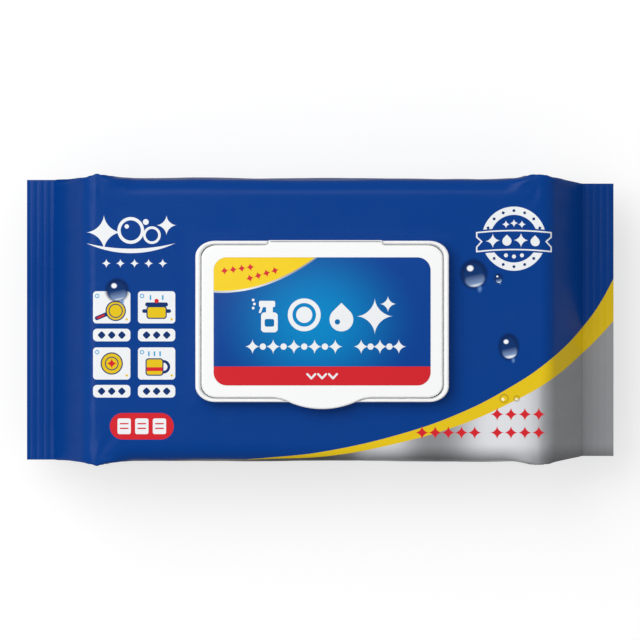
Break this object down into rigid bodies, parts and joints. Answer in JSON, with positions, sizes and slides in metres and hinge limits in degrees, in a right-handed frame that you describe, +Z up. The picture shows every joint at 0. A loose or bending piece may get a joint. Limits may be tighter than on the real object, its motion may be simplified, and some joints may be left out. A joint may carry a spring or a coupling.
{
  "type": "wet wipes pack",
  "caption": "Long film pack of wet wipes with gusseted ends, crimped end seals and a white moulded flip-top lid with a printed label.",
  "frame": {"origin": "middle of the underside, on the surface that the pack lies on", "axes": "+X along the pack, +Y across it towards the lid's hinge, +Z up through the lid"},
  "size_m": [0.25, 0.1252, 0.0571],
  "materials": {
    "film": "satin printed film, deep blue with a yellow stripe and a silver corner",
    "seal_film": "glossy resealable label film",
    "frame_plastic": "smooth satin white moulding",
    "lid_plastic": "smooth satin white moulding",
    "label_print": "glossy printed sticker in blues with a yellow corner and a red band"
  },
  "bodies": {
    "pack": {"pouch": "film", "seal_label": "seal_film", "lid_frame": "frame_plastic"},
    "lid": {"lid": "lid_plastic", "lid_label": "label_print"}
  },
  "joints": [
    {"name": "lid_hinge", "type": "hinge", "parent": "pack", "child": "lid", "pos_m": [0.0022, 0.0338, 0.055], "axis": [-1, 0, 0], "range_deg": [0, 150]}
  ]
}
